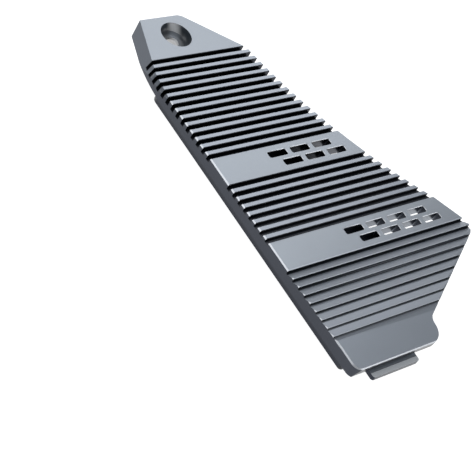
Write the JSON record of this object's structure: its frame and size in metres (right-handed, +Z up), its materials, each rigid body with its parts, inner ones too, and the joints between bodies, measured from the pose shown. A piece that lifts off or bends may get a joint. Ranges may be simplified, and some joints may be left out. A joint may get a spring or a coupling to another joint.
{
  "type": "ssd heat sink",
  "caption": "Finned aluminium heat sink for a solid-state drive bay, with vent slots, a hooking tongue, a screw pad and a flattened copper heat pipe set in its contact block.",
  "frame": {"origin": "middle of the contact block's face, on the ground plane", "axes": "+Z up, out of the fins; +Y along the part, from the tongue to the screw pad; +X from the straight edge to the wing"},
  "size_m": [0.0716, 0.1275, 0.011],
  "materials": {
    "body": "fine satin anodised, slate grey",
    "copper": "bright satin bare copper, machined flush with the contact face"
  },
  "bodies": {
    "root": {"body": "body", "heat_pipe": "copper"}
  },
  "joints": []
}
